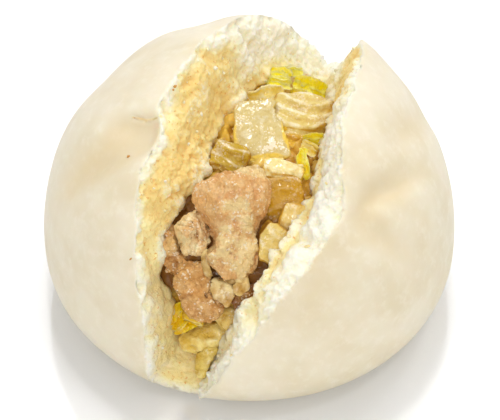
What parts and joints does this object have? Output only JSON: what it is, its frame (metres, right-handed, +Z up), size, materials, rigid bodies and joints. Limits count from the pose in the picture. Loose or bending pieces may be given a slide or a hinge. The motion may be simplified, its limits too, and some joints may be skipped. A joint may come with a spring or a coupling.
{
  "type": "steamed meat bun",
  "caption": "Round steamed wheat bun pulled open in a wide tear, with pork pieces and stewed cabbage in the bread.",
  "frame": {"origin": "middle of the flat base, on the surface the bun rests on", "axes": "+Z up; +X across the tear towards the right half; -Y towards the end where the tear reaches the ground"},
  "size_m": [0.1007, 0.1003, 0.0666],
  "materials": {
    "bread": "matte, slightly translucent steamed skin and open white crumb",
    "filling_bed": "wet, soft",
    "pork": "wet, nubbly cooked meat",
    "pork_fat": "wet, glossy",
    "soft_cabbage": "wet, translucent",
    "cabbage_stem": "wet, translucent",
    "cabbage_leaf": "wet, thin"
  },
  "bodies": {
    "root": {"bun": "bread", "filling_core": "filling_bed", "pork_chunk_1": "pork", "pork_chunk_2": "pork", "pork_chunk_3": "pork", "fat_1": "pork_fat", "fat_2": "pork_fat", "fat_3": "pork_fat", "fat_4": "pork_fat", "pork_chunk_4": "pork", "soft_cabbage_1": "soft_cabbage", "soft_cabbage_2": "soft_cabbage", "soft_cabbage_3": "soft_cabbage", "cabbage_stem_1": "cabbage_stem", "cabbage_stem_2": "cabbage_stem", "cabbage_stem_3": "cabbage_stem", "cabbage_stem_4": "cabbage_stem", "cabbage_stem_5": "cabbage_stem", "cabbage_stem_6": "cabbage_stem", "cabbage_stem_7": "cabbage_stem", "cabbage_stem_8": "cabbage_stem", "cabbage_leaf_1": "cabbage_leaf", "cabbage_leaf_2": "cabbage_leaf", "cabbage_leaf_3": "cabbage_leaf", "cabbage_leaf_4": "cabbage_leaf", "cabbage_leaf_5": "cabbage_leaf", "cabbage_leaf_6": "cabbage_leaf", "cabbage_leaf_7": "cabbage_leaf", "cabbage_leaf_8": "cabbage_leaf"}
  },
  "joints": []
}
